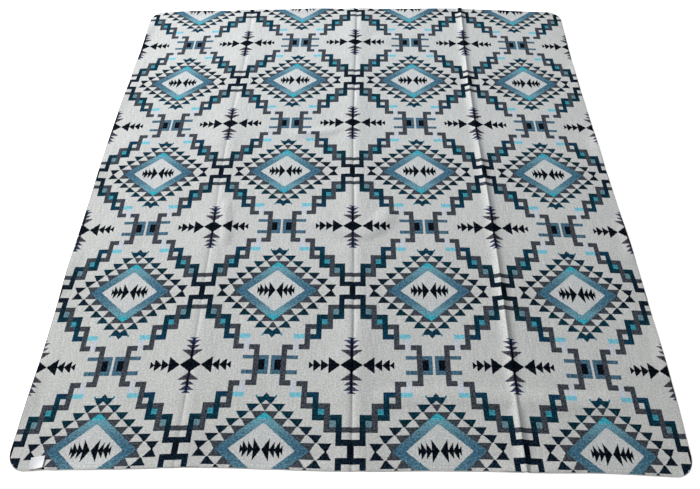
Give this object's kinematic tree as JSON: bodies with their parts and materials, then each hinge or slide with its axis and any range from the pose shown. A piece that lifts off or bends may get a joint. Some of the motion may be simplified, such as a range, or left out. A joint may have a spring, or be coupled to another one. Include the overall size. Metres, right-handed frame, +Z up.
{
  "type": "alpaca blanket",
  "caption": "Large woven blanket with rounded corners, spread out flat with soft fold creases and a small label sewn on one corner.",
  "frame": {"origin": "on the floor, under the middle of the blanket's box", "axes": "+Z up off the floor, +Y along the blanket's length to its far end, +X across its width to the right; the label is at -X, -Y"},
  "size_m": [2.086, 2.3444, 0.0125],
  "materials": {
    "blanket_cloth": "brushed wool weave, matt",
    "label_cloth": "woven satin label"
  },
  "bodies": {
    "root": {"blanket": "blanket_cloth", "corner_label": "label_cloth"}
  },
  "joints": []
}
